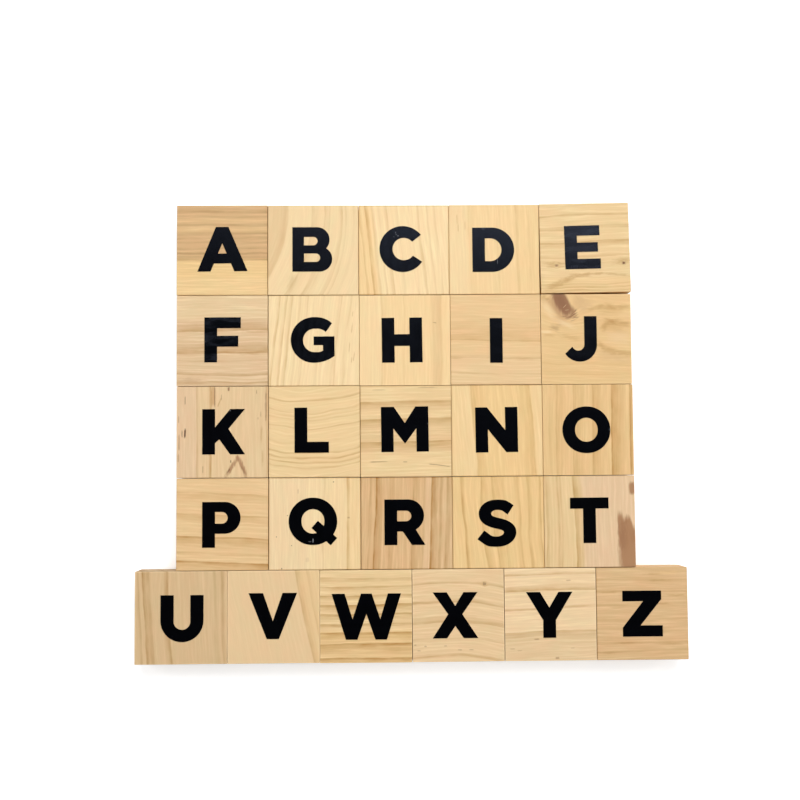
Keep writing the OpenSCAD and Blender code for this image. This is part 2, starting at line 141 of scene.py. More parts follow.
BOARDS = {
    "a": Board(
        LEVEL, GOLD, 0.99, DULL, wander=0.4, wave=60, streak=0.3, edge=0.9,
        zones=((-5.4, OFF, TAN, 1), (10.2, 12.6, GOLD, 0.4), (15.6, 17.4, GOLD, 0.4),
               (-OFF, -15.5, PALE, 0.25)),
        rings=((21.2, 3, 0.4), (18.4, 1.5, 0.2), (14, 1.5, 0.3), (9, 1.5, 0.35), (6.4, 1.5, 0.3),
               (4.2, 1, 0.3), (0.8, 1, 0.3), (-1.9, 1.2, 0.45), (-3.8, 1, 0.3), (-5.2, 1, 0.4)),
    ),
    "b": Board(
        LEVEL + 75, PALE, 0.99, sweep=0.0065, streak=0.12, telegraph_and_sheen=0.06,
        zones=((17.3, 70, TAN, 0.5),),
        rings=((17.2, 4, 0.25), (3.6, -5, 0.3), (-3.8, -3, 0.3), (-6.6, -1.5, 0.15), (-14.5, 2.5, 0.3),
               (-17, 1.5, 0.2), (-21, -1.5, 0.12)),
        marks=(Mark(-12, -18, 6, 2.4, LATE, 0.22, 0.3, -5, 0.2),),
    ),
    "c": Board(
        UPRIGHT + 6, PALE, 1.04, wander=0.7, painted_edge_shade=0.45, telegraph_and_sheen=0.15,
        zones=((-OFF, -16, GOLD, 0.7),),
        rings=((-22.5, 1.5, 0.28), (-19, 2, 0.5), (-15.8, 1.5, 0.32), (-11.5, -1.5, 0.2), (-7.5, -2, 0.35),
               (-1.2, -1.5, 0.18), (5.5, -1.5, 0.15), (10.5, -2, 0.3), (15.5, -1.5, 0.2),
               (19.5, -1.5, 0.18)),
        flecks=(Mark(-4.5, 9.7, 0.6, 0.25, DUST_AND_GLINT, 0.5), Mark(-3.2, 7.9, 0.3, 0.5, DUST_AND_GLINT, 0.6),
                Mark(-4.2, 8.6, 0.25, 0.25, DUST_AND_GLINT, 0.5), Mark(-5.4, 7.4, 0.25, 0.3, DUST_AND_GLINT, 0.3)),
    ),
    "d": Board(
        UPRIGHT + 2, PEACH, wander=0.7, streak=0.18, telegraph_and_sheen=0.08,
        zones=((-OFF, -14, PALE, 0.6), (12.5, OFF, GOLD, 0.3)),
        rings=((-13.5, 4, 0.12), (1.9, 3, 0.1), (12.6, 2, 0.25), (19, 4, 0.12)),
        marks=(Mark(-20.5, 17, 3, 0.4, LATE, 0.25), Mark(-19.9, 12, 2.4, 0.3, LATE, 0.35),
               Mark(-16, 13.5, 3, 0.4, LATE, 0.2)),
        flecks=(Mark(-6, 11.6, 0.3, 0.9, DUST_AND_GLINT, 0.4), Mark(1.8, -7, 1.6, 0.25, DUST_AND_GLINT, 0.4)),
    ),
    "e": Board(
        LEVEL + 2, STRAW, 0.99, wander=1.1, wave=40, streak=0.3, telegraph_and_sheen=0.4,
        zones=((-OFF, -16, GOLD, 0.4),),
        rings=((18.4, 1.2, 0.45), (12.2, 1.5, 0.25), (10.8, 1.5, 0.45), (3.4, -3.5, 0.55), (-5, 1.5, 0.25),
               (-8.3, 2, 0.3), (-20.5, 1, 0.3), (-22.5, 1.5, 0.4), (-24.5, 1.5, 0.4)),
        knots=((-15.9, -9.9, 1.3), (21.7, -8.6, 1.3)),
        marks=(Mark(-16.5, -9.5, 7, 2.2, LATE, 0.4, 0.6, 0, 0),
               Mark(20.5, -7.4, 6, 3, LATE, 0.35, 0.6, 0, 0),
               Mark(-15.9, -9.9, 1.3, 1, KNOT, 0.8, 0.4, 0, 0.2),
               Mark(21.6, -8.5, 1.4, 1.2, KNOT, 0.85, 0.4, 0, 0.2), Mark(21.7, -8.5, 0.7, 0.7, RESIN, 0.7),
               Mark(-17, -21, 8, 2.6, LATE, 0.5, 0.5, 22, 0),
               Mark(-9.3, -17.4, 5.5, 2.2, LATE, 0.55, 0.5, 22, 0.1),
               Mark(-1.3, -15.2, 6.5, 1.5, LATE, 0.6, 0.5, 5, 0.1),
               Mark(7, -14.4, 5, 1.1, LATE, 0.5, 0.5, 2, 0.1),
               Mark(17, -14.8, 9, 0.9, LATE, 0.4, 0.5, -6, 0.1)),
    ),
    "f": Board(
        LEVEL, ROSE, 0.935, wander=0.9, wave=50, painted_edge_shade=0, streak=0.38, telegraph_and_sheen=0.6,
        zones=((-OFF, OFF, PINK, 0.5), (12, OFF, PALE, 0.5)),
        rings=((5.3, 7, 0.55), (-6.5, 7, 0.7), (-10.9, 1, 0.25), (-18.4, 1.5, 0.45), (-22.5, -3, 0.35)),
        marks=(Mark(19, 4.7, 9, 0.7, LATE, 0.35, 0.5, 0, 0.2), Mark(-18, 6, 7, 0.7, LATE, 0.3, 0.5, 0, 0.2),
               Mark(-17, -22, 9, 2.4, RUST, 0.25, 0.6, 0, 0), Mark(16, -7, 8, 1.4, LATE, 0.25, 0.6, 0, 0)),
    ),
    "g": Board(
        UPRIGHT - 6, PALE, 1.03, telegraph_and_sheen=0.15,
        rings=((-20.8, -1.5, 0.42), (-17, -1.5, 0.35), (-13.9, -2, 0.35), (-9.5, -1.5, 0.18),
               (-5.6, -2, 0.22), (3.4, -2, 0.12), (13, -3, 0.25), (18.5, -2, 0.2)),
        marks=(Mark(21, 7, 3, 0.3, LATE, 0.4), Mark(21.5, 15, 2, 0.25, LATE, 0.4),
               Mark(19.5, -4, 3, 0.3, LATE, 0.35), Mark(22, -9, 3, 0.3, LATE, 0.4),
               Mark(20.8, -11, 2, 0.25, LATE, 0.4)),
    ),
    "h": Board(
        UPRIGHT, PEACH, 1.02, wander=1, streak=0.16, painted_edge_shade=-0.1, telegraph_and_sheen=0.08,
        zones=((14.6, 20.2, TAN, 0.3), (-OFF, -13.2, PALE, 0.5)),
        rings=((-13.2, 3, 0.2), (-0.8, 2, 0.1), (20.2, -5, 0.2)),
        marks=(Mark(16.4, 9.7, 0.25, 1.3, RUST, 0.7, 0.4, -10),),
    ),
    "i": Board(
        LEVEL - 1, HONEY, wave=50, telegraph_and_sheen=0.08,
        zones=((-OFF, -9, ROSE, 0.5),),
        rings=((-0.7, 15, 0.38), (-10.4, 1.5, 0.3), (-19, 1, 0.22)),
        marks=(Mark(-22, -10.3, 4, 0.8, LATE, 0.25, 0.5, 0, 0),
               Mark(16, -10.8, 6, 1.2, LATE, 0.2, 0.6, 0, 0)),
    ),
    "j": Board(
        LEVEL - 3, GOLD, 1.01, wander=1.4, wave=36, painted_edge_shade=-0.2, telegraph_and_sheen=0.1,
        zones=((-OFF, OFF, TAN, 0.35),),
        rings=((-12, 1.5, 0.12), (-19, 4, 0.14)),
        knots=((-12, 20, 7),),
        marks=(Mark(-14.5, 17.5, 14, 9, TAN, 0.8, 0.3, -52, 0),
               Mark(-2.5, 20, 8, 6, TAN, 0.75, 0.4, -40, 0),
               Mark(-23.5, 23, 5, 3.4, LATE, 0.35, 0.5, -50, 0.1),
               Mark(-14, 18.5, 12, 7, RUST, 0.6, 0.4, -57, 0),
               Mark(-21, 16.6, 9, 3.2, PALE, 0.65, 0.3, -52, 0),
               Mark(-11.4, 8.5, 7.5, 2, PALE, 0.65, 0.3, -19, 0),
               Mark(-17.3, 6.4, 3.6, 2.6, RUST, 0.5, 0.5, -10, 0),
               Mark(-8.6, 1, 8, 2, LATE, 0.3, 0.5, -8, 0),
               Mark(-22.3, 4.1, 4.6, 1.2, PALE, 0.8, 0.3, 3, 0.1),
               Mark(-20, 2.2, 6, 1.2, LATE, 0.25, 0.5, 3, 0),
               Mark(-11.8, 19.4, 9.8, 4.2, KNOT, 0.92, 0.4, -57, 0.6),
               Mark(-13, 20.6, 7, 3, RESIN, 0.16, 0.4, -57, 0.1),
               Mark(-8, 13.8, 2, 1.6, RESIN, 0.2, 0.4, -57, 0.1),
               Mark(-11.6, 18.4, 1.6, 0.2, STRAW, 0.45, 0.3, 48),
               Mark(-10.4, 16.2, 1.4, 0.2, STRAW, 0.45, 0.3, 10),
               Mark(14, 15.6, 10, 4, LATE, 0.22, 0.3, -2, 0),
               Mark(3.5, 16.6, 3.6, 1.5, LATE, 0.35, 0.3, 18, 0),
               Mark(8, 18, 3.6, 1.9, LATE, 0.5, 0.3, 16, 0),
               Mark(13.5, 18, 4.6, 2.2, LATE, 0.5, 0.3, -8, 0),
               Mark(20.5, 17.8, 7, 1.7, LATE, 0.42, 0.3, 4, 0),
               Mark(15, 7.2, 10, 5, LATE, 0.32, 0.3, -5, 0),
               Mark(10.2, 7, 3.6, 2.4, LATE, 0.45, 0.3, 57, 0),
               Mark(13.6, 9.6, 4.6, 2.6, LATE, 0.55, 0.3, 0, 0),
               Mark(20, 8.6, 8, 2.2, LATE, 0.45, 0.3, -7, 0), Mark(18, 0.6, 9, 5, ROSE, 0.6, 0.4, 0, 0),
               Mark(15, -9.6, 13, 4.6, TAN, 0.6, 0.3, -8, 0),
               Mark(8.4, -3.6, 4, 2.2, LATE, 0.5, 0.3, -36, 0),
               Mark(13, -6.2, 5.6, 2.5, LATE, 0.48, 0.3, -16, 0),
               Mark(20.5, -7.8, 8, 2.2, LATE, 0.45, 0.3, -3, 0)),
    ),
    "k": Board(
        UPRIGHT, ROSE, 0.97, wander=0.5, painted_edge_shade=0,
        zones=((-OFF, -13.7, PINK, 0.8),),
        rings=((-13.7, -1, 0.35), (-6.1, -1.2, 0.7), (24, 2, 0.4)),
        marks=(Mark(-20.4, -0.8, 3, 0.6, RESIN, 0.9), Mark(-22, -1.3, 2.2, 0.28, RESIN, 0.7),
               Mark(-23.6, -6, 5, 0.45, KNOT, 0.5), Mark(-24, -14, 3, 0.4, KNOT, 0.4),
               Mark(-23.9, 7, 2.4, 0.35, KNOT, 0.4), Mark(-20.4, 17.4, 2.4, 0.25, RESIN, 0.6),
               Mark(3.4, 23.6, 1.3, 0.6, KNOT, 0.9), Mark(18.7, 22, 1.4, 0.3, KNOT, 0.6),
               Mark(23.8, 15, 9, 0.6, KNOT, 0.5), Mark(-4.2, 19.5, 7, 0.4, KNOT, 0.8),
               Mark(-5.3, 19.5, 7, 1.1, LATE, 0.5), Mark(-1.6, 16.4, 3.4, 0.4, LATE, 0.45, 0.5, -22),
               Mark(-0.6, 19, 2, 0.25, KNOT, 0.6), Mark(21, 10, 1.8, 0.25, KNOT, 0.5),
               Mark(21.4, -1.5, 5, 0.9, LATE, 0.4, 0.6, 0, 0), Mark(22, -14, 5, 0.8, LATE, 0.35, 0.6, 0, 0),
               Mark(19.5, 7.4, 0.8, 0.25, KNOT, 0.5), Mark(8.2, -14.8, 1.8, 1.3, RUST, 0.6, 0.5, 0, 0.2),
               Mark(5, -19.4, 7, 1.4, RUST, 0.85, 0.5, -32, 0.3),
               Mark(10.9, -19.2, 7.6, 1.5, RUST, 0.85, 0.5, 23, 0.3), Mark(4.6, -16, 0.9, 0.35, RESIN, 0.7),
               Mark(11.4, -20.8, 2.6, 0.6, RESIN, 0.25, 0.5, 23),
               Mark(3.4, -21.2, 1.6, 0.5, RESIN, 0.5, 0.5, -30), Mark(-10.6, -20.5, 2, 0.22, KNOT, 0.6)),
        flecks=(Mark(4.3, 11.7, 0.35, 0.35, DUST_AND_GLINT, 0.9),),
    ),
    "l": Board(
        LEVEL + 2, STRAW, 1.04, wander=1.1, wave=26, sweep=0.006,
        rings=((16.4, 1, 0.45), (10.3, 1, 0.24), (8.2, 1, 0.18), (6.2, 1, 0.22), (1, 1, 0.4),
               (-6.5, 1, 0.15), (-12.3, 1.2, 0.45), (-15.2, 1.2, 0.5), (-17.7, 1.2, 0.45),
               (-20.5, 1.2, 0.35)),
    ),
    "m": Board(
        LEVEL + 1, STRAW, 1.02, wander=0.4, streak=0.3,
        zones=((-12, 7, TAN, 0.35), (12, 16.4, TAN, 0.3)),
        rings=((16.4, -4.5, 0.6), (6.9, -5.5, 0.6), (-5.7, -6, 0.65)),
        marks=(Mark(-14.5, 22.8, 4, 0.25, KNOT, 0.4), Mark(12, 24, 6, 0.25, KNOT, 0.4),
               Mark(-15.5, -16.7, 5, 0.3, KNOT, 0.6), Mark(-0.5, -16.8, 1.4, 0.4, KNOT, 0.4),
               Mark(18, -18.7, 6.5, 0.3, KNOT, 0.55, 0.5, -8)),
        flecks=(Mark(12.1, 4.2, 0.5, 0.3, DUST_AND_GLINT, 0.6),),
    ),
    "n": Board(
        UPRIGHT + 4, GOLD, 1.02, wander=1,
        zones=((-OFF, -12.5, PALE, 0.5), (20.3, OFF, PALE, 0.4)),
        rings=((-12.5, 7, 0.36), (19.8, -8, 0.4)),
    ),
    "o": Board(
        UPRIGHT, GOLD, 1.02, wander=0.5, painted_edge_shade=-0.1,
        zones=((-OFF, OFF, TAN, 0.35),),
        rings=((-21.5, 3, 0.15), (-17.6, 6, 0.3), (-8, 7, 0.42), (2.8, 7, 0.5), (13, 8, 0.85),
               (23.4, 3, 0.7)),
        flecks=(Mark(11.7, 0, 0.9, 0.25, DUST_AND_GLINT, 0.7),),
    ),
    "p": Board(
        LEVEL - 3, HONEY, wander=0.7, streak=0.28,
        rings=((16.2, -5.5, 0.38), (4.9, -5, 0.4), (-7, -7.5, 0.66), (-16, -1.5, 0.32), (-20.9, -5.5, 0.8)),
    ),
    "q": Board(
        UPRIGHT, PALE, 1.02, wander=0.9, painted_edge_shade=0.4,
        zones=((-OFF, -4, PINK, 0.25), (5, OFF, GOLD, 0.2), (17.3, OFF, GOLD, 0.4)),
        rings=((5, -2, 0.2), (17.4, 2, 0.5)),
        marks=(Mark(-14.9, 4.5, 0.35, 0.25, RESIN, 0.9), Mark(-20.9, -7, 0.4, 0.3, RESIN, 0.9),
               Mark(-12.7, -11.8, 0.3, 0.35, RESIN, 0.7), Mark(18.5, 3.2, 0.6, 0.7, RUST, 0.5),
               Mark(10.4, 22.7, 0.5, 0.4, RESIN, 0.5), Mark(-9.1, 17.6, 1.4, 0.3, RUST, 0.4),
               Mark(-4.1, -19.4, 1.5, 1.2, RUST, 0.15), Mark(-18, -24.2, 0.4, 0.3, RESIN, 0.7)),
        flecks=(Mark(-1, -9.2, 1.2, 0.4, DUST_AND_GLINT, 0.9), Mark(-2.7, -9.7, 0.3, 0.9, DUST_AND_GLINT, 0.4)),
    ),
    "r": Board(
        UPRIGHT - 2, TAN, 1.06, wander=0.5, streak=0.34, painted_edge_shade=0.4,
        zones=((13.4, OFF, OAT, 0.7), (9.5, 12.8, PINK, 0.4)),
        rings=((-20.5, 1.5, 0.3), (-17.3, 4, 1), (-9.5, 3, 0.35), (3, 4, 0.5), (8.8, 1.5, 0.2),
               (13.2, 5, 1), (18, 2.5, 0.5), (21.5, 3, 0.55)),
    ),
    "s": Board(
        UPRIGHT + 4, GOLD, 1.01, wander=1.5, wave=36,
        rings=((-18.6, 1.8, 0.6), (-7.9, 4, 0.45), (-2, 6, 0.45), (3.4, 2, 0.2), (12.5, -3, 0.35),
               (16.8, 2.5, 0.4), (23.4, -2, 0.4)),
    ),
    "t": Board(
        UPRIGHT + 1, STRAW, 0.98, edge=0.5,
        zones=((-4, OFF, PINK, 0.9),),
        rings=((-23.8, 3.5, 0.4), (-19.4, 1, 0.15), (-17.4, 3, 0.35), (-15.5, 1, 0.3), (-8, 4.5, 0.65)),
        marks=(Mark(21.4, -16, 15, 6.6, RUST, 0.95, 0.12), Mark(17.2, -4.6, 11, 2.1, RUST, 0.95, 0.12, 2),
               Mark(19.6, -7, 10, 2.2, RUST, 0.95, 0.12, 4), Mark(22.4, -4.6, 9, 2.3, RUST, 0.95, 0.12, 15),
               Mark(24, 18, 4, 2.4, RUST, 0.95, 0.15), Mark(18, -8, 11, 3, KNOT, 0.4, 0.5, 0, 0)),
    ),
    "u": Board(
        UPRIGHT + 3, OAT, 0.985, wander=1, wave=40, streak=0.2, edge=0.6, painted_edge_shade=-0.25,
        rings=((-22, -1.5, 0.35), (-19.4, 4.5, 0.6), (-15.8, -1.5, 0.35), (-6.3, -2.5, 0.65),
               (18.5, 2, 0.2), (22.2, 2, 0.45)),
    ),
    "v": Board(
        UPRIGHT + 11, ROSE, 1.01, streak=0.1, painted_edge_shade=-0.25,
        zones=((17, OFF, GOLD, 0.4),),
        rings=((16.6, 4.5, 0.5), (22.5, 2, 0.2)),
    ),
    "w": Board(
        LEVEL, STRAW, 1.01, wander=0.5, streak=0.4, painted_edge_shade=-0.25,
        zones=((-OFF, -8, GOLD, 0.7), (-OFF, -13.5, TAN, 0.2)),
        rings=((20.7, -2, 0.5), (16.2, -2, 0.55), (11.5, -2, 0.6), (6.3, -4, 0.85), (1.2, -3.5, 0.75),
               (-4.2, -2, 0.7), (-9, -5.2, 0.8), (-14.8, -6, 0.8), (-22.3, -4, 0.75)),
    ),
    "x": Board(
        LEVEL - 2, ROSE, 1.02, wander=1, sweep=-0.003, streak=0.3, painted_edge_shade=-0.25,
        rings=((17.4, 1.2, 0.4), (7, 2, 0.55), (-3.6, 4, 0.55), (-12.7, 2, 0.22), (-22.3, 1.8, 0.5)),
        knots=((14.6, 16.9, 1.1),),
        marks=(Mark(14.6, 16.9, 1.1, 1, RESIN, 0.45), Mark(0.6, -18.6, 1.2, 0.25, KNOT, 0.5),
               Mark(6.7, -18.6, 1.4, 0.25, KNOT, 0.5), Mark(-23.6, -15.8, 0.8, 0.4, KNOT, 0.45),
               Mark(-18, -16.5, 0.8, 0.4, KNOT, 0.4), Mark(-7.2, -16.4, 0.9, 0.4, KNOT, 0.3),
               Mark(-21.5, -18.9, 1, 0.3, KNOT, 0.35)),
    ),
    "y": Board(
        LEVEL + 2, PALE, 1.02, wander=0.7, streak=0.3, painted_edge_shade=-0.25,
        zones=((-OFF, OFF, PINK, 0.4), (-OFF, -9, OAT, 0.5)),
        rings=((21.2, 1.5, 0.5), (13, 3.5, 0.65), (3.2, 1.5, 0.5), (-9, -5, 0.5)),
        marks=(Mark(-7.6, -13.2, 1.6, 0.5, RUST, 0.6), Mark(-21, -18.4, 1.6, 0.3, RUST, 0.4),
               Mark(-17, -19.4, 1.6, 0.25, RUST, 0.4), Mark(3.4, -23.5, 1.2, 0.7, RUST, 0.6),
               Mark(10, 18.4, 1.4, 0.4, RUST, 0.4), Mark(12, -18.2, 1.2, 0.3, RUST, 0.3)),
    ),
    "z": Board(
        LEVEL, TAN, 1.05, wander=0.8, wave=50, streak=0.4,
        zones=((-OFF, OFF, OAT, 0.3),),
        rings=((18, 2, 0.2), (12, 1, 0.3), (4.2, 1.5, 0.2), (-3.5, 1.5, 0.12), (-15.7, 2.5, 0.25),
               (-20.5, 2, 0.25)),
        marks=(Mark(6, 21.4, 6, 0.7, LATE, 0.35, 0.5, 0, 0.1),
               Mark(10, 18, 7, 0.8, LATE, 0.35, 0.5, 0, 0.1),
               Mark(-18, 11.6, 9, 0.7, LATE, 0.4, 0.5, 0, 0.1),
               Mark(19, 9.8, 7, 0.8, LATE, 0.4, 0.5, 0, 0.1),
               Mark(10, 5.4, 6, 0.8, LATE, 0.35, 0.5, 0, 0.1),
               Mark(-14, 3.2, 6, 0.6, LATE, 0.3, 0.5, 0, 0.1),
               Mark(-10, -15.8, 7, 0.8, LATE, 0.4, 0.5, 0, 0.1),
               Mark(16, -16.4, 8, 0.8, LATE, 0.3, 0.5, 0, 0.1),
               Mark(-20, -21, 6, 0.8, LATE, 0.4, 0.5, 0, 0.1), Mark(14, 22, 8, 1.4, GOLD, 0.4, 0.5, 0, 0)),
    ),
}

# Pith of the tree that a board came from, across the grain and below the face
PITH_ACROSS = 70
PITH_DEPTH = -45
# Stretch of ring depth that the ramps of rings and zones cover
RAMP_REACH = 80
# Width of a ring's dark line where a band follows, and the band's share of the darkness
RING_LINE = 0.8
RING_BAND = 0.6
# A ring that fades out farther than this has a band
BAND_FROM = 2
ZONE_EDGE = 1.2

# Sizes of the grain's noises along the fibres, across them and down, in millimetres
QUICK_SIZE = (9, 3, 3)
FIBRE_SIZE = (6, 0.32, 0.32)
HUE_SIZE = (16, 8, 8)
RAGGED_SIZE = (4, 0.9, 0.9)
# Sizes of those that follow the rings, along the fibres and across the rings
STREAK_SIZE = (24, 0.9, 1)
PATCH_SIZE = (11, 3, 1)
# How far the lines stray: slowly, for each unit of wander, and quickly, on every board
SLOW_STRAY = 4.0
QUICK_STRAY = 0.9
# Share of the late wood that no patch takes away, and what the patches bring back
PATCH_BASE = 0.1
PATCH_GAIN = 1.8
# How far apart in the noises the boards lie
SEED_STEP = 100.0

# How deep a mark goes, where it has faded out in its own half sizes, and the reach of a torn edge
MARK_DEPTH = 8
MARK_RIM = 1.05
MARK_TEAR = 3.0

# Distances from a block's edge to where its painted edge shade has ended, and to where it is full
ARRIS_END = 0.8 * MM
ARRIS_FULL = 0.15 * MM

# Strength of the fine streaks, and how much stronger the pale ones are
STREAK_GAIN = 1.6
PALE_GAIN = 2.4
# Change of red, green and blue from the greenest patch of a board to the pinkest
PINKER = (0.1, -0.05, -0.02)
# Brightness beside the fibres, what fibres add to it, and what end grain takes from it
FIBRE_BASE = 0.955
FIBRE_GAIN = 0.09
END_LOSS = 0.22
# How far a face is turned to the fibres where end grain begins, and where it is full
END_FROM = 0.5
END_FULL = 0.95
# Roughness of early wood, what late wood takes from it and what fibres add to it
WOOD_ROUGH = 0.62
LATE_SMOOTH = 0.12
FIBRE_ROUGH = 0.16
# Shares of late wood and fibres in the height of the surface
LATE_HEIGHT = 0.8
FIBRE_HEIGHT = 0.7
# Height, strength and gloss of the sanded face
WOOD_RELIEF = 0.03 * MM
WOOD_BUMP = 0.6
WOOD_GLOSS = 0.3

# Film: black, and the painted sheen put in its colour over the grain
FILM_BLACK = (0.0003, 0.0003, 0.0005, 1)
FILM_PAINTED_SHEEN = (0.02, 0.023, 0.032, 1)
# Late wood's part in the painted sheen, and where the painted sheen begins and is full
SHEEN_LATE = 0.6
SHEEN_FROM = 0.35
SHEEN_FULL = 0.6
# Fine unevenness of its face: waves to the millimetre, height, and roughness on top of the film's own
PEEL_WAVES = 2.2
PEEL_HEIGHT = 0.15
PEEL_ROUGH = 0.06
FILM_ROUGH = 0.18
# Height, strength, gloss and colour of gloss of the film's face
FILM_RELIEF = 0.03 * MM
FILM_BUMP = 0.7
FILM_GLOSS = 0.34
FILM_GLINT = (0.6, 0.7, 1, 1)


class Nodes:
    """Adds nodes to one tree."""

    def __init__(self, tree):
        self.tree = tree

    def give(self, socket, value):
        """Feeds an input: a socket given as the value is joined up, and anything else is set on it."""
        if isinstance(value, bpy.types.NodeSocket):
            self.tree.links.new(value, socket)
        else:
            socket.default_value = value

    def add(self, kind, values=None, **settings):
        node = self.tree.nodes.new("ShaderNode" + kind)
        for name, value in settings.items():
            setattr(node, name, value)
        for key, value in (values or {}).items():
            self.give(node.inputs[key], value)
        return node

    def group(self, tree, **values):
        return self.add("Group", {key.replace("_", " "): v for key, v in values.items()}, node_tree=tree)

    def math(self, operation, *values, clamp=False):
        return self.add("Math", dict(enumerate(values)), operation=operation, use_clamp=clamp).outputs[0]

    def vector(self, operation, *values):
        keys = (0, "Scale") if operation == "SCALE" else range(len(values))
        node = self.add("VectorMath", dict(zip(keys, values)), operation=operation)
        return node.outputs["Value" if operation in ("LENGTH", "DOT_PRODUCT") else "Vector"]

    def smooth(self, value, low, high):
        """0 below low, 1 above high, and a smooth step between them. Low may be the greater."""
        values = {"Value": value, "From Min": low, "From Max": high}
        return self.add("MapRange", values, interpolation_type="SMOOTHSTEP").outputs["Result"]

    def noise(self, vector, detail=2.0):
        return self.add("TexNoise", {"Vector": vector, "Scale": 1.0, "Detail": detail}).outputs["Fac"]

    def mix(self, share, a, b):
        return self.add("Mix", {0: share, 6: a, 7: b}, data_type="RGBA").outputs[2]

    def mix_value(self, share, a, b):
        return self.add("Mix", {0: share, 2: a, 3: b}, data_type="FLOAT").outputs[0]

    def ramp(self, value, stops):
        """Value from 0 to 1 to a colour, straight between stops of (place, colour)."""
        node = self.add("ValToRGB", {"Fac": value})
        elements = node.color_ramp.elements
        elements.remove(elements[1])
        elements[0].position, elements[0].color = stops[0]
        for place, colour in stops[1:]:
            elements.new(place).color = colour
        return node.outputs["Color"]


def new_group(name, inputs, outputs):
    """Empty shader node group, with the sockets that feed it and a node that collects what it puts out."""
    tree = bpy.data.node_groups.new(name, "ShaderNodeTree")
    for label, kind in inputs.items():
        tree.interface.new_socket(label, in_out="INPUT", socket_type="NodeSocket" + kind)
    for label, kind in outputs.items():
        tree.interface.new_socket(label, in_out="OUTPUT", socket_type="NodeSocket" + kind)
    fed = tree.nodes.new("NodeGroupInput").outputs
    given = tree.nodes.new("NodeGroupOutput").inputs
    return tree, Nodes(tree), fed, given


def make_grain():
    """Grain of a board, for points in millimetres with X along the fibres and Z up from the face.

    Ring depth is the distance from the pith less the pith's distance from the middle of the face, after two
    noises and the sweep have moved the point across the grain. Streaks and patches follow the rings, and the
    other noises follow the board.
    """
    inputs = {"Board": "Vector"} | dict.fromkeys(["Wander", "Wave", "Sweep", "Seed"], "Float")
    outputs = dict.fromkeys(["Depth", "Streaks", "Fibres", "Patches", "Hue", "Ragged"], "Float")
    tree, n, fed, given = new_group("board grain", inputs, outputs)
    seeded = n.vector("ADD", fed["Board"], n.add("CombineXYZ", {0: fed["Seed"], 1: fed["Seed"]}).outputs[0])
    half_wave = n.math("MULTIPLY", fed["Wave"], 0.5)
    wave = n.add("CombineXYZ", {0: fed["Wave"], 1: half_wave, 2: half_wave}).outputs[0]
    slow = n.math("SUBTRACT", n.noise(n.vector("DIVIDE", seeded, wave), 1.0), 0.5)
    slow = n.math("MULTIPLY", slow, n.math("MULTIPLY", fed["Wander"], SLOW_STRAY))
    quick = n.math("SUBTRACT", n.noise(n.vector("DIVIDE", seeded, QUICK_SIZE)), 0.5)
    stray = n.math("MULTIPLY_ADD", quick, QUICK_STRAY, slow)
    place = n.add("SeparateXYZ", {0: fed["Board"]}).outputs
    bow = n.math("MULTIPLY", n.math("MULTIPLY", place["X"], place["X"]), fed["Sweep"])
    across = n.math("SUBTRACT", n.math("ADD", place["Y"], stray), bow)
    point = n.add("CombineXYZ", {0: across, 1: place["Z"]}).outputs[0]
    from_pith = n.vector("LENGTH", n.vector("SUBTRACT", point, (PITH_ACROSS, PITH_DEPTH, 0)))
    depth = n.math("SUBTRACT", from_pith, hypot(PITH_ACROSS, PITH_DEPTH))
    along = n.math("ADD", place["X"], fed["Seed"])
    ringed = n.add("CombineXYZ", {0: along, 1: n.math("ADD", depth, fed["Seed"])}).outputs[0]
    n.give(given["Depth"], depth)
    n.give(given["Streaks"], n.noise(n.vector("DIVIDE", ringed, STREAK_SIZE), 3.0))
    n.give(given["Fibres"], n.noise(n.vector("DIVIDE", seeded, FIBRE_SIZE)))
    n.give(given["Patches"], n.noise(n.vector("DIVIDE", ringed, PATCH_SIZE)))
    n.give(given["Hue"], n.noise(n.vector("DIVIDE", seeded, HUE_SIZE)))
    n.give(given["Ragged"], n.noise(n.vector("DIVIDE", seeded, RAGGED_SIZE), 3.0))
    return tree


def make_knot_bend():
    """Moves points across the grain so that straight lines flow round a knot, as water flows round a post.

    With the knot in the middle, across becomes across * (1 - radius ** 2 / distance ** 2), and 0 inside.
    """
    inputs = {"Board": "Vector", "Place": "Vector", "Radius": "Float"}
    tree, n, fed, given = new_group("knot bend", inputs, {"Board": "Vector"})
    apart = n.vector("SUBTRACT", fed["Board"], fed["Place"])
    flat = n.vector("MULTIPLY", apart, (1, 1, 0))
    near = n.math("MULTIPLY", fed["Radius"], fed["Radius"])
    far = n.math("MAXIMUM", n.vector("DOT_PRODUCT", flat, flat), near)
    pull = n.math("DIVIDE", near, far)
    shift = n.math("MULTIPLY", n.add("SeparateXYZ", {0: apart}).outputs["Y"], pull)
    n.give(given["Board"], n.vector("SUBTRACT", fed["Board"], n.add("CombineXYZ", {1: shift}).outputs[0]))
    return tree


def make_mark():
    """Mask of a mark: a rounded box, x ** 4 + y ** 4 + z ** 4 = 1 in its half sizes, with a torn edge."""
    vectors = dict.fromkeys(["Board", "Place", "Turn", "Half"], "Vector")
    floats = dict.fromkeys(["Noise", "Ragged", "Share", "Core"], "Float")
    tree, n, fed, given = new_group("mark", vectors | floats, {"Mask": "Float"})
    own = {"Vector": fed["Board"], "Location": fed["Place"], "Rotation": fed["Turn"], "Scale": fed["Half"]}
    local = n.add("Mapping", own, vector_type="TEXTURE").outputs["Vector"]
    reach = n.math("SQRT", n.vector("LENGTH", n.vector("MULTIPLY", local, local)))
    tear = n.math("MULTIPLY", fed["Ragged"], MARK_TEAR)
    torn = n.math("MULTIPLY_ADD", n.math("SUBTRACT", fed["Noise"], 0.5), tear, reach)
    n.give(given["Mask"], n.math("MULTIPLY", n.smooth(torn, MARK_RIM, fed["Core"]), fed["Share"]))
    return tree


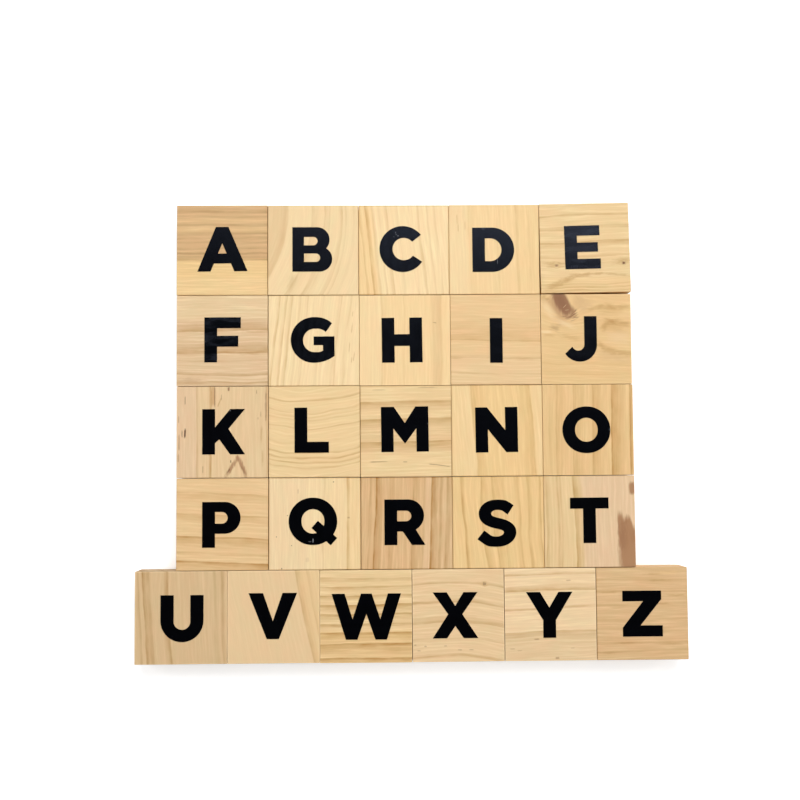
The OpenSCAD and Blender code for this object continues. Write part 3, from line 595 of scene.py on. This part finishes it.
def make_arris():
    """Mask of a block's sanded edges for their painted shade, from the second smallest of a point's
    distances to the faces.
    """
    inputs = {"Place": "Vector", "Half": "Vector"}
    tree, n, fed, given = new_group("painted_edge_shade", inputs, {"Edge": "Float"})
    inset = n.vector("SUBTRACT", fed["Half"], n.vector("ABSOLUTE", fed["Place"]))
    inset = n.add("SeparateXYZ", {0: inset}).outputs
    low = n.math("MINIMUM", inset["X"], inset["Y"])
    high = n.math("MAXIMUM", inset["X"], inset["Y"])
    second = n.math("MAXIMUM", low, n.math("MINIMUM", high, inset["Z"]))
    n.give(given["Edge"], n.smooth(second, ARRIS_END, ARRIS_FULL))
    return tree


def make_finish():
    """Sanded pine: colour, roughness and height from the tones, the rings and the fibres.

    colour = early * (1 - late * (1 - tint)), where late is the rings with the fine streaks and the painted
    shade of the edges, and less than 0 where a streak is pale or an edge has a painted highlight. Late wood
    is smoother and a little higher, since sanding wears the soft wood between the rings more. Slow patches
    are pinker or greener, and end grain is darker.
    """
    inputs = {"Early": "Color", "Tint": "Vector"}
    inputs |= dict.fromkeys(["Rings", "Streaks", "Streak share", "Fibres", "Hue", "End", "Edge"], "Float")
    outputs = {"Color": "Color", "Roughness": "Float", "Height": "Float"}
    tree, n, fed, given = new_group("sanded pine", inputs, outputs)
    fine = n.math("MULTIPLY", n.math("SUBTRACT", 0.5, fed["Streaks"]), fed["Streak share"])
    fine = n.math("MINIMUM", fine, n.math("MULTIPLY", fine, PALE_GAIN))
    late = n.math("MULTIPLY_ADD", fine, STREAK_GAIN, fed["Rings"])
    # The edges' painted shade, less than 0 for a painted highlight
    late = n.math("ADD", late, fed["Edge"])
    taken = n.vector("SCALE", n.vector("SUBTRACT", (1, 1, 1), fed["Tint"]), late)
    wood = n.vector("MULTIPLY", fed["Early"], n.vector("SUBTRACT", (1, 1, 1), taken))
    pinker = n.vector("SCALE", PINKER, n.math("SUBTRACT", fed["Hue"], 0.5))
    wood = n.vector("MULTIPLY", wood, n.vector("ADD", (1, 1, 1), pinker))
    shade = n.math("MULTIPLY_ADD", fed["Fibres"], FIBRE_GAIN, FIBRE_BASE)
    shade = n.math("MULTIPLY", shade, n.math("MULTIPLY_ADD", fed["End"], -END_LOSS, 1.0))
    n.give(given["Color"], n.vector("SCALE", wood, shade))
    rough = n.math("MULTIPLY_ADD", fed["Rings"], -LATE_SMOOTH, WOOD_ROUGH)
    n.give(given["Roughness"], n.math("MULTIPLY_ADD", fed["Fibres"], FIBRE_ROUGH, rough))
    height = n.math("MULTIPLY", fed["Fibres"], FIBRE_HEIGHT)
    n.give(given["Height"], n.math("MULTIPLY_ADD", fed["Rings"], LATE_HEIGHT, height))
    return tree


GRAIN = make_grain()
KNOT_BEND = make_knot_bend()
MARK = make_mark()
ARRIS = make_arris()
FINISH = make_finish()


def ramp_place(across):
    """Place on the ramps, from 0 to 1, of a place across the grain on the face."""
    depth = hypot(across - PITH_ACROSS, PITH_DEPTH) - hypot(PITH_ACROSS, PITH_DEPTH)
    return min(max(depth / RAMP_REACH + 0.5, 0.0), 1.0)


def along_ramp(n, depth, stops):
    """Adds a ramp that runs with the ring depth."""
    return n.ramp(n.math("MULTIPLY_ADD", depth, 1 / RAMP_REACH, 0.5), stops)


def ring_stops(board):
    """Stops of the late wood: each ring rises steeply to a dark line and fades out to one side of it."""
    profiles = []
    for place, fade, darkness in board.rings:
        side = 1 if fade > 0 else -1
        points = [(place - side * board.edge, 0), (place, darkness), (place + fade, 0)]
        if abs(fade) > BAND_FROM:
            points.insert(2, (place + side * RING_LINE, RING_BAND * darkness))
        profiles.append(np.array(sorted(points)).T)
    places = np.unique(np.concatenate([across for across, _ in profiles]))
    late = np.max([np.interp(places, across, shares, 0, 0) for across, shares in profiles], axis=0)
    return sorted((ramp_place(p), (v, v, v, 1)) for p, v in zip(places, late.tolist()))


def zone_stops(board):
    """Stops of the wood between the rings: its own tone, and another one from edge to edge of each zone."""
    edges = [e for low, high, _, _ in board.zones for e in (low, high)] or [0]
    stops = []
    for place in sorted(e + side * ZONE_EDGE for e in edges for side in (-1, 1)):
        colour = np.array(board.wood)
        for low, high, tint, share in board.zones:
            ramp = [low - ZONE_EDGE, low + ZONE_EDGE, high - ZONE_EDGE, high + ZONE_EDGE]
            here = share * np.interp(place, ramp, [0, 1, 1, 0])
            colour = (1 - here) * colour + here * np.array(tint)
        stops.append((ramp_place(place), tuple((board.shade * colour).tolist())))
    return sorted(stops)


def on_board(board, right, up):
    """Place along and across a board's grain, of a place on the face."""
    c, s = cos(radians(board.grain)), sin(radians(board.grain))
    return (c * right + s * up, c * up - s * right, 0)


def lay_grain(n, letter):
    """Adds one tile's grain to a material: points on its board, the grain there and the late wood."""
    board = BOARDS[letter]
    low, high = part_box(f"block_{letter}")
    own = {
        "Vector": n.add("TexCoord").outputs["Object"],
        "Location": ((low.x + high.x) / 2, (low.y + high.y) / 2, high.z),
        "Rotation": (0, 0, radians(board.grain)),
        "Scale": (MM, MM, MM),
    }
    place = n.add("Mapping", own, vector_type="TEXTURE").outputs["Vector"]
    bent = place
    for right, up, radius in board.knots:
        middle = on_board(board, right, up)
        bent = n.group(KNOT_BEND, Board=bent, Place=middle, Radius=radius).outputs["Board"]
    lines = {"Wander": board.wander, "Wave": board.wave, "Sweep": board.sweep}
    grain = n.group(GRAIN, Board=bent, Seed=SEED_STEP * LETTERS.index(letter), **lines).outputs
    rings = along_ramp(n, grain["Depth"], ring_stops(board))
    patchy = n.math("MULTIPLY_ADD", grain["Patches"], PATCH_GAIN, PATCH_BASE)
    return place, grain, n.math("MULTIPLY", rings, patchy, clamp=True)


def lay_marks(n, board, marks, place, noise, colour):
    """Draws marks over a colour, one after another."""
    for mark in marks:
        mask = n.group(
            MARK,
            Board=place,
            Place=on_board(board, mark.right, mark.up),
            Turn=(0, 0, radians(mark.turn)),
            Half=(mark.along, mark.across, MARK_DEPTH),
            Noise=noise,
            Ragged=mark.ragged,
            Share=mark.share,
            Core=mark.core,
        ).outputs["Mask"]
        colour = n.mix(mask, colour, mark.colour)
    return colour


def new_material(name):
    material = bpy.data.materials.new(name)
    material.use_nodes = True
    material.node_tree.nodes.clear()
    return material, Nodes(material.node_tree)


def pine(letter):
    """Sanded, unfinished pine of one tile."""
    board = BOARDS[letter]
    material, n = new_material(f"pine {letter}")
    place, grain, late = lay_grain(n, letter)
    fibres = (cos(radians(board.grain)), sin(radians(board.grain)), 0)
    end = n.math("ABSOLUTE", n.vector("DOT_PRODUCT", n.add("TexCoord").outputs["Normal"], fibres))
    low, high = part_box(f"block_{letter}")
    own = {"Vector": n.add("TexCoord").outputs["Object"], "Location": (low + high) / 2}
    from_middle = n.add("Mapping", own, vector_type="TEXTURE").outputs["Vector"]
    painted_edge_shade = n.group(ARRIS, Place=from_middle, Half=(high - low) / 2).outputs["Edge"]
    wood = n.group(
        FINISH,
        Early=along_ramp(n, grain["Depth"], zone_stops(board)),
        Tint=board.late,
        Rings=late,
        Streaks=grain["Streaks"],
        Streak_share=board.streak,
        Fibres=grain["Fibres"],
        Hue=grain["Hue"],
        End=n.smooth(end, END_FROM, END_FULL),
        # Browner edges are painted shade, and paler ones, below 0, a painted highlight
        Edge=n.math("MULTIPLY", painted_edge_shade, board.painted_edge_shade),
    ).outputs
    relief = {"Height": wood["Height"], "Distance": WOOD_RELIEF, "Strength": WOOD_BUMP}
    look = {
        "Base Color": lay_marks(n, board, board.marks, place, grain["Ragged"], wood["Color"]),
        "Roughness": wood["Roughness"],
        "Normal": n.add("Bump", relief).outputs["Normal"],
        "Specular IOR Level": WOOD_GLOSS,
    }
    n.add("OutputMaterial", {"Surface": n.add("BsdfPrincipled", look).outputs[0]})
    return material


def film(letter):
    """Black vinyl film, with a satin face that the grain below shows through a little, and a painted sheen
    in its colour over the grain.
    """
    board = BOARDS[letter]
    material, n = new_material(f"film {letter}")
    place, grain, late = lay_grain(n, letter)
    peel = n.noise(n.vector("SCALE", place, PEEL_WAVES))
    height = n.math("MULTIPLY_ADD", late, board.telegraph_and_sheen, n.math("MULTIPLY", peel, PEEL_HEIGHT))
    relief = {"Height": height, "Distance": FILM_RELIEF, "Strength": FILM_BUMP}
    # Painted sheen: bands over the grain where the film's colour turns from black to bluish grey, standing
    # in for a reflection
    bands = n.math("SUBTRACT", grain["Patches"], n.math("MULTIPLY", late, SHEEN_LATE))
    painted_sheen = n.math("MULTIPLY", n.smooth(bands, SHEEN_FROM, SHEEN_FULL), board.telegraph_and_sheen)
    colour = n.mix(painted_sheen, FILM_BLACK, FILM_PAINTED_SHEEN)
    look = {
        # Grey flecks: dust and scratches, and painted glints on air under the film
        "Base Color": lay_marks(n, board, board.flecks, place, grain["Ragged"], colour),
        "Roughness": n.math("MULTIPLY_ADD", peel, PEEL_ROUGH, FILM_ROUGH),
        "Normal": n.add("Bump", relief).outputs["Normal"],
        "Specular IOR Level": FILM_GLOSS,
        "Specular Tint": FILM_GLINT,
    }
    n.add("OutputMaterial", {"Surface": n.add("BsdfPrincipled", look).outputs[0]})
    return material


def dress(name, material):
    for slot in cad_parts[name].material_slots:
        slot.material = material


for letter in LETTERS:
    dress(f"block_{letter}", pine(letter))
    dress(f"letter_{letter}", film(letter))

# Table and backdrop: a flat white sheet that curves up far from the tiles
FLAT_RADIUS = 2.2
SHEET_HALF = 4.0
SHEET_STEPS = 80
SHEET_RISE = 0.7
PAPER_WHITE = (0.8, 0.8, 0.8, 1)
# Light that the paper gives near the tiles and far away, and the distances between which it changes
GLOW_NEAR = 0.6
GLOW_FAR = 1.0
GLOW_FROM = 0.4
GLOW_TO = 1.2
# How near a thing covers the paper, and the open shares at which the light is out and full
COVER_REACH = 70 * MM
COVERED = 0.1
OPEN = 0.45


def white_sheet():
    """Square sheet on a grid, with height = rise * (distance - flat radius) ** 2 past the flat radius."""
    line = np.linspace(-SHEET_HALF, SHEET_HALF, SHEET_STEPS + 1)
    x, y = np.meshgrid(line, line)
    z = SHEET_RISE * np.maximum(np.hypot(x, y) - FLAT_RADIUS, 0) ** 2
    points = np.stack([x, y, z], axis=-1).reshape(-1, 3)
    index = np.arange(points.shape[0]).reshape(x.shape)
    corners = [index[:-1, :-1], index[:-1, 1:], index[1:, 1:], index[1:, :-1]]
    faces = np.stack(corners, axis=-1).reshape(-1, 4)
    mesh = bpy.data.meshes.new("white sheet")
    mesh.from_pydata(points.tolist(), [], faces.tolist())
    mesh.shade_smooth()
    sheet = bpy.data.objects.new("white_sheet", mesh)
    bpy.context.scene.collection.objects.link(sheet)
    return sheet


def white_paper():
    """Matt white paper that keeps shadows. Seen directly or in a reflection it gives light, more far away.

    It gives none where something stands close over it, so that the joints between the tiles stay dark.
    """
    material, n = new_material("white paper")
    path = n.add("LightPath").outputs
    seen = n.math("MAXIMUM", path["Is Camera Ray"], path["Is Glossy Ray"])
    seen = n.math("MAXIMUM", seen, path["Is Transmission Ray"])
    place = n.add("TexCoord").outputs["Object"]
    far = n.vector("LENGTH", n.vector("MULTIPLY", place, (1, 1, 0)))
    glow = n.mix_value(n.smooth(far, GLOW_FROM, GLOW_TO), GLOW_NEAR, GLOW_FAR)
    clear = n.add("AmbientOcclusion", {"Distance": COVER_REACH}, samples=4).outputs["AO"]
    glow = n.math("MULTIPLY", glow, n.smooth(clear, COVERED, OPEN))
    light = n.add("Emission", {"Color": WHITE, "Strength": n.math("MULTIPLY", seen, glow)})
    matt = n.add("BsdfDiffuse", {"Color": PAPER_WHITE})
    both = n.add("AddShader", {0: matt.outputs[0], 1: light.outputs[0]})
    n.add("OutputMaterial", {"Surface": both.outputs[0]})
    return material


sheet = white_sheet()
sheet.data.materials.append(white_paper())

# Lamps as name, place and size in metres, and power in watts
LAMPS = (
    ("window", (0.2, 1.05, 1.38), 1.2, 23.6),
    ("left fill", (-1.45, 0.2, 0.9), 1.1, 9),
    ("right fill", (1.5, 0.0, 0.9), 1.1, 9),
    ("near fill", (0.0, -1.5, 0.9), 1.1, 5),
)
# Faint light from all round
ROOM_LIGHT = 0.035


def area_lamp(name, place, size, power):
    """Soft square lamp that faces the tiles."""
    lamp = bpy.data.lights.new(name, "AREA")
    lamp.energy = power
    lamp.size = size
    obj = bpy.data.objects.new(name, lamp)
    obj.location = place
    obj.rotation_euler = (-Vector(place)).to_track_quat("-Z", "Y").to_euler()
    bpy.context.scene.collection.objects.link(obj)


for lamp in LAMPS:
    area_lamp(*lamp)

world = bpy.data.worlds.new("dim studio")
world.use_nodes = True
background = world.node_tree.nodes["Background"].inputs
background["Color"].default_value = WHITE
background["Strength"].default_value = ROOM_LIGHT
bpy.context.scene.world = world

camera = bpy.data.objects.new("camera", bpy.data.cameras.new("camera"))
camera.location = CAMERA_PLACE
camera.rotation_euler = [radians(a) for a in CAMERA_TURN]
camera.data.lens = CAMERA_LENS
camera.data.sensor_width = SENSOR
bpy.context.scene.collection.objects.link(camera)
bpy.context.scene.camera = camera

bpy.context.scene.view_settings.view_transform = "Standard"
